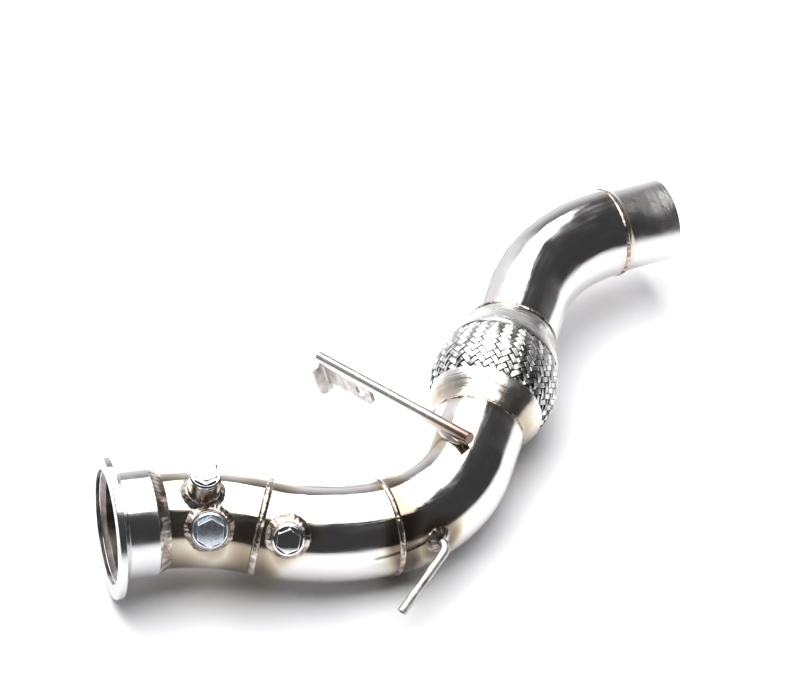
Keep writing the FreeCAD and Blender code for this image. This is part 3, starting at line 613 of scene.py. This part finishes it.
# about 2.4 mm from one ring to the next, shifted a little by faint streaks across them
streaks = speckle(tree, spoke, 5.0, 3.0)
along = reckon(tree, "MULTIPLY_ADD", streaks, 0.003, along)
rings = ring_noise(tree, along, 420.0, 3.0)
rings = reckon(tree, "MULTIPLY_ADD", streaks, 0.8, rings)
raise_skin(tree, shader, rings, 0.6, 0.0006)


def cap_outline(length, skirt, wall):
    """A spun cone from the tube's size at the neck to the skirt, eased at both ends."""
    neck, steps = TUBE / 2, 12
    outer = []
    for i in range(steps + 1):
        share = i / steps
        eased = share - math.sin(math.tau * share) / 16
        outer.append((1.5 + (length - 2.5) * share, neck + (skirt - neck) * eased))
    inner = [(x + wall * 0.4, y - wall) for x, y in reversed(outer)]
    return ([(0, neck)] + outer + [(length - 0.3, skirt), (length, skirt - 0.3), (length, skirt - wall)]
            + inner + [(0, neck - wall)])


lower_cap = turned("lower_cap", flex_seat, cap_outline(LOWER_CAP, SKIRT_RADIUS, CAP_WALL))
upper_cap = turned("upper_cap", pipe_4_seat @ Matrix.Rotation(math.pi, 4, "Z"),
                   cap_outline(UPPER_CAP, SKIRT_RADIUS, CAP_WALL))
seat_piece(lower_cap, cap_finish, "cap_steel", "flex_lower_cap")
seat_piece(upper_cap, cap_finish, "cap_steel", "flex_upper_cap")

# Woven sleeve: 48 flat bands run each way at 45 degrees, over two and under two, on a dark
# inner sleeve that is painted shade under them. Each band is several fine wires side by side, which show as lines
# along it.
BANDS, BAND_WIDTH, BAND_THICKNESS, DIVE = 48, 3.65, 0.55, 0.45
END_RADIUS, MIDDLE_RADIUS = 37.6, 43.1
braid_seat = flex_seat @ ahead(LOWER_CAP + BRAID / 2)
bulge = MIDDLE_RADIUS - END_RADIUS
arch = (BRAID * BRAID / 4 + bulge * bulge) / (2 * bulge)
weave_radius = MIDDLE_RADIUS - bulge / 3
band_step = math.tau / BANDS
crossing = weave_radius * band_step / 2


def sleeve_radius(along):
    """How far the crowned sleeve stands from its axis, so far from its middle."""
    return MIDDLE_RADIUS - arch + math.sqrt(arch * arch - min(along * along, BRAID * BRAID / 4))


def on_sleeve(along, turn, height):
    """A place so high above the sleeve."""
    out = sleeve_radius(along) + height
    return Vector((along, out * math.sin(turn), out * math.cos(turn)))


half_width, half_thick = BAND_WIDTH / 2, BAND_THICKNESS / 2
section = [(-half_width, -half_thick), (-half_width, half_thick * 0.4), (-half_width + 0.3, half_thick),
           (half_width - 0.3, half_thick), (half_width, half_thick * 0.4), (half_width, -half_thick)]
corners, faces, lines, lifts = [], [], [], []
stations = 88
for lean in (1, -1):
    for band in range(BANDS):
        first = len(corners)
        for station in range(stations + 1):
            along = (station / stations - 0.5) * (BRAID + 3)
            passed = lean * along / crossing
            phase = 2 * band + passed - 0.5 if lean > 0 else 2 * band + passed - 2.5
            # flat on top and below, steep where it dives
            lift = math.tanh(3.4 * math.cos(phase * math.pi / 2))
            height = DIVE * lift
            turn = band * band_step + lean * along / weave_radius
            centre = on_sleeve(along, turn, height)
            onward = (on_sleeve(along + 0.5, turn + lean * 0.5 / weave_radius, height) - centre).normalized()
            outward = Vector((0, math.sin(turn), math.cos(turn)))
            sideways = onward.cross(outward).normalized()
            outward = sideways.cross(onward)
            for across, up in section:
                corners.append((centre + sideways * across + outward * up) * MM)
                lines.append((along * MM, across * MM))
                lifts.append(lift)
        around = len(section)
        for station in range(stations):
            for i in range(around):
                a, b = first + station * around + i, first + station * around + (i + 1) % around
                faces.append((a, b, b + around, a + around))
        faces.append(tuple(first + i for i in reversed(range(around))))
        faces.append(tuple(first + stations * around + i for i in range(around)))
mesh = bpy.data.meshes.new("woven_bands")
mesh.from_pydata(corners, [], faces)
across_map = mesh.uv_layers.new(name="Wires")
for loop in mesh.loops:
    across_map.data[loop.index].uv = Vector(lines[loop.vertex_index]) * 100
dive_shade_map = mesh.uv_layers.new(name="Depth")
for loop in mesh.loops:
    corner = loop.vertex_index
    dive_shade_map.data[loop.index].uv = (lifts[corner] / 2 + 0.5, abs(lines[corner][1]) / (half_width * MM))
bands = bpy.data.objects.new("woven_bands", mesh)
bpy.context.collection.objects.link(bands)
bpy.ops.object.select_all(action="DESELECT")
bands.select_set(True)
bpy.context.view_layer.objects.active = bands
bpy.ops.object.mode_set(mode="EDIT")
bpy.ops.mesh.select_all(action="SELECT")
bpy.ops.mesh.normals_make_consistent(inside=False)
bpy.ops.object.mode_set(mode="OBJECT")
bpy.ops.object.shade_smooth_by_angle(angle=math.radians(24))
bands.data.transform(braid_seat)

# flat woven wire: bright on each crown, with painted shade that goes black where a band dives, and fine lines
# along it
braid_wire, tree, shader, place = metal("flat woven wire", "#dcdbd9", 0.2)
strip = add_node(tree, "ShaderNodeUVMap", uv_map="Wires").outputs["UV"]
side = add_node(tree, "ShaderNodeSeparateXYZ", {"Vector": strip}).outputs["Y"]
# about 0.6 mm from wire to wire: the map is in tenths of a metre
groove = reckon(tree, "MULTIPLY", side, math.tau / 0.06)
groove = reckon(tree, "COSINE", groove)
raise_skin(tree, shader, groove, 0.5, 0.00006)
# a band is painted dark as shade where it dives under its neighbours and along its edges, and no two are alike
depth = add_node(tree, "ShaderNodeUVMap", uv_map="Depth").outputs["UV"]
depth = add_node(tree, "ShaderNodeSeparateXYZ", {"Vector": depth})
tone = tones(tree, depth.outputs["X"], (0.1, "#34312f"), (0.45, "#8f8c89"), (0.72, "#e6e5e3"))
edge_shade = spread(tree, depth.outputs["Y"], (0.84, 0.95), (1.0, 0.25))
varied = speckle(tree, place, 150.0, 0.0)
varied = spread(tree, varied, (0.35, 0.65), (0.5, 1.0))
shade = reckon(tree, "MULTIPLY", varied, edge_shade)
toned = add_node(tree, "ShaderNodeVectorMath", {0: tone, "Scale": shade}, operation="SCALE").outputs[0]
join_in(tree, toned, shader, "Base Color")
dull = speckle(tree, place, 200.0, 2.0)
sheen = spread(tree, dull, (0.35, 0.7), (0.12, 0.32))
join_in(tree, sheen, shader, "Roughness")
seat_piece(bands, braid_wire, "braid", "flex_braid")

steps = 20
lengths = [(i / steps - 0.5) * (BRAID + 6) for i in range(steps + 1)]
inner = [(x, sleeve_radius(x) - 0.9) for x in lengths]
sleeve = turned("inner_sleeve", braid_seat, inner + [(x, y - 0.6) for x, y in reversed(inner)])

# unpolished sheet: dark and dull, so that it reads as shade between the bands
shadow_steel, tree, shader, place = metal("dark sheet, painted shade", "#4c4a48", 0.5)
mesh_lines = speckle(tree, place, 600.0, 2.0)
raise_skin(tree, shader, mesh_lines, 0.5, 0.0002)
seat_piece(sleeve, shadow_steel, "braid")

# Bellows and liner: thin folded and rolled sheet inside the flex joint, seen only through the
# open ends. Both keep their solids and take the same dark finish as the inner sleeve, painted shade.
for name in ("flex_bellows", "flex_liner"):
    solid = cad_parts[name]
    solid.data.materials.clear()
    solid.data.materials.append(shadow_steel)

# Outlet: a short tube of 60 mm, swaged up to the tube's size at its root, plain at its end,
# where the next section slides on.
STUB_RADIUS, STUB_LENGTH = 30.0, 43.5

# the outlet's finish: polished over a coarse grain that runs round it
stub_finish = polished("outlet, polished", [(outlet_seat, 0, 9, 0.5)], roughness=0.13, drawn=False)
tree = stub_finish.node_tree
shader = tree.nodes["Principled BSDF"]
place = add_node(tree, "ShaderNodeTexCoord").outputs["Object"]
along = along_axis(tree, place, outlet_seat.to_3x3() @ Vector((1, 0, 0)))
smear = speckle(tree, place, 45.0, 2.0)
along = reckon(tree, "MULTIPLY_ADD", smear, 0.002, along)
rings = ring_noise(tree, along, 1500.0, 3.0)
grain = reckon(tree, "MULTIPLY_ADD", smear, 0.6, rings)
raise_skin(tree, shader, grain, 0.5, 0.00016)
stub = turned("outlet", outlet_seat, [
    (0, BORE_RADIUS), (0, TUBE / 2), (2, TUBE / 2), (2.8, 31.55), (4.0, 30.95), (5.2, 30.2), (6, STUB_RADIUS),
    (STUB_LENGTH, STUB_RADIUS), (STUB_LENGTH, STUB_RADIUS - WALL), (6, STUB_RADIUS - WALL), (2, BORE_RADIUS)],
    bevel=0.3)
seat_piece(stub, stub_finish, "polished_tube", "outlet_stub")

# Hanger: a round bar laid across the main bend and welded down on both sides, with a folded
# sheet bracket under its far end. The bar's near end is scorched brown.
BAR_RADIUS, NEAR_END, FAR_END = 4.25, -17.0, 133.0
rod_seat = (pipe_3_seat @ rod_spot @ Matrix.Translation((0, 0, (TUBE / 2 + BAR_RADIUS + 0.1) * MM))
            @ Matrix.Rotation(math.radians(63.0), 4, "Z"))
rod_axis = rod_seat.to_3x3() @ Vector((1, 0, 0))

# round bar: polished, scuffed along its length, scorched brown where it was welded
bar_finish, tree, shader, place = metal("round bar, polished", "#c6c3bf", 0.2)
offset = reckon(tree, "SUBTRACT", along_axis(tree, place, rod_axis), rod_axis.dot(rod_seat.translation))
scorch = spread(tree, offset, (-12 * MM, 30 * MM))
tone = tones(tree, scorch, (0.0, "#76655b"), (0.5, "#a8998a"), (1.0, "#c6c3bf"))
join_in(tree, tone, shader, "Base Color")
bar_marks = speckle(tree, place, 260.0, 3.0)
sheen = spread(tree, bar_marks, (0.35, 0.7), (0.13, 0.3))
join_in(tree, sheen, shader, "Roughness")
bar = turned("hanger_bar", rod_seat, [(NEAR_END, 0), (NEAR_END, BAR_RADIUS), (FAR_END, BAR_RADIUS), (FAR_END, 0)],
             steps=64, bevel=0.6)
seat_piece(bar, bar_finish, "rod_steel", "hanger_rod")

# the hanger's bead: brighter and smoother than the ring welds
bright_bead, tree, shader, place = metal("weld bead, bright", "#cbc6c0", 0.34)
grit = speckle(tree, place, 420.0, 3.0)
raise_skin(tree, shader, grit, 0.4, 0.0004)
bpy.ops.object.select_all(action="DESELECT")
bpy.ops.mesh.primitive_ico_sphere_add(subdivisions=5, radius=1)
bar_bead = bpy.context.object
HALF_LENGTH, HALF_WIDTH, HALF_HEIGHT, SUNK = 13.5, 6.6, 3.8, 4.4
for vertex in bar_bead.data.vertices:
    x, y, z = vertex.co
    lump = 1 + 0.08 * noise.noise(vertex.co * 2.2)
    vertex.co = Vector((x * HALF_LENGTH * lump, y * HALF_WIDTH * lump, z * HALF_HEIGHT * lump - SUNK)) * MM
    # the bead's ends follow the tube down
    along = vertex.co.x / MM
    vertex.co.z -= along * along * 0.79 / TUBE * MM
bpy.ops.object.shade_smooth_by_angle(angle=math.radians(60))
bar_bead.name = bar_bead.data.name = "bar_bead"
bar_bead.data.transform(rod_seat)
seat_piece(bar_bead, bright_bead, "weld", "rod_weld")

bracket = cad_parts["bracket"]
bracket.data.materials.clear()
bracket.data.materials.append(drawn_steel)
whole = bracket.modifiers.new("Whole", "WELD")
whole.merge_threshold = 0.00001
eased = bracket.modifiers.new("Eased", "BEVEL")
eased.width, eased.segments, eased.limit_method, eased.angle_limit = 0.0003, 2, "ANGLE", math.radians(35)

# Table, light and camera: the pipe lies on a white table under one large softbox, in a room that
# is dark in front and bright behind and to the left, as its bands of reflection tell. The table
# is matt and lit until it burns out to white.
bpy.ops.object.select_all(action="DESELECT")
bpy.ops.mesh.primitive_plane_add(size=30, location=(0.2, 0, cad_low.z))
floor = bpy.context.object
floor.name = "table"
table_white = bpy.data.materials.new("white table")
table_white.use_nodes = True
tree = table_white.node_tree
shader = tree.nodes["Principled BSDF"]
shader.inputs["Base Color"].default_value = linear("#f2f2f4")
shader.inputs["Roughness"].default_value = 0.9
path = add_node(tree, "ShaderNodeLightPath")
glow = reckon(tree, "MULTIPLY", path.outputs["Is Glossy Ray"], 0.1)
shader.inputs["Emission Color"].default_value = (1, 1, 1, 1)
join_in(tree, glow, shader, "Emission Strength")
floor.data.materials.append(table_white)

lamp_data = bpy.data.lights.new("overhead softbox", "AREA")
lamp_data.shape = "RECTANGLE"
lamp_data.size, lamp_data.size_y = 1.3, 2.0
lamp_data.energy = 39.0
lamp = bpy.data.objects.new("overhead softbox", lamp_data)
lamp.location = (0.1, 0.57, 1.0)
bpy.context.collection.objects.link(lamp)

studio = bpy.data.worlds.new("studio")
bpy.context.scene.world = studio
studio.use_nodes = True
tree = studio.node_tree
background = tree.nodes["Background"]
outwards = add_node(tree, "ShaderNodeTexCoord").outputs["Generated"]
heading = add_node(tree, "ShaderNodeSeparateXYZ", {"Vector": outwards})
back = spread(tree, heading.outputs["Y"], (0.1, 0.8))
wall_glow = spread(tree, heading.outputs["Z"], (0.05, 0.52), (1.0, 0.06))
left = spread(tree, heading.outputs["X"], (0.12, -0.14), (0.0, 1.0))
wall_glow = reckon(tree, "MAXIMUM", wall_glow, left)
room = reckon(tree, "MULTIPLY_ADD", back, wall_glow, 0.055)
path = add_node(tree, "ShaderNodeLightPath")
light = reckon(tree, "MAXIMUM", room, path.outputs["Is Camera Ray"])
tree.links.new(light, background.inputs["Strength"])
background.inputs["Color"].default_value = (0.98, 0.96, 1, 1)

camera_data = bpy.data.cameras.new("camera")
camera_data.sensor_width = 36
camera_data.lens = 130.8
camera = bpy.data.objects.new("camera", camera_data)
bpy.context.collection.objects.link(camera)
bpy.context.scene.camera = camera
STAND = (-0.21571, -1.3169, 1.33643)
yaw, elevation, roll = (math.radians(angle) for angle in (17.22, 41.56, 2.72))
gaze = Vector((math.sin(yaw) * math.cos(elevation), math.cos(yaw) * math.cos(elevation), -math.sin(elevation)))
level = Vector((math.cos(yaw), -math.sin(yaw), 0))
upright = level.cross(gaze)
right = level * math.cos(roll) + upright * math.sin(roll)
above = upright * math.cos(roll) - level * math.sin(roll)
camera.matrix_world = Matrix.Translation(STAND) @ Matrix((right, above, -gaze)).transposed().to_4x4()
bpy.context.scene.view_settings.view_transform = "Standard"
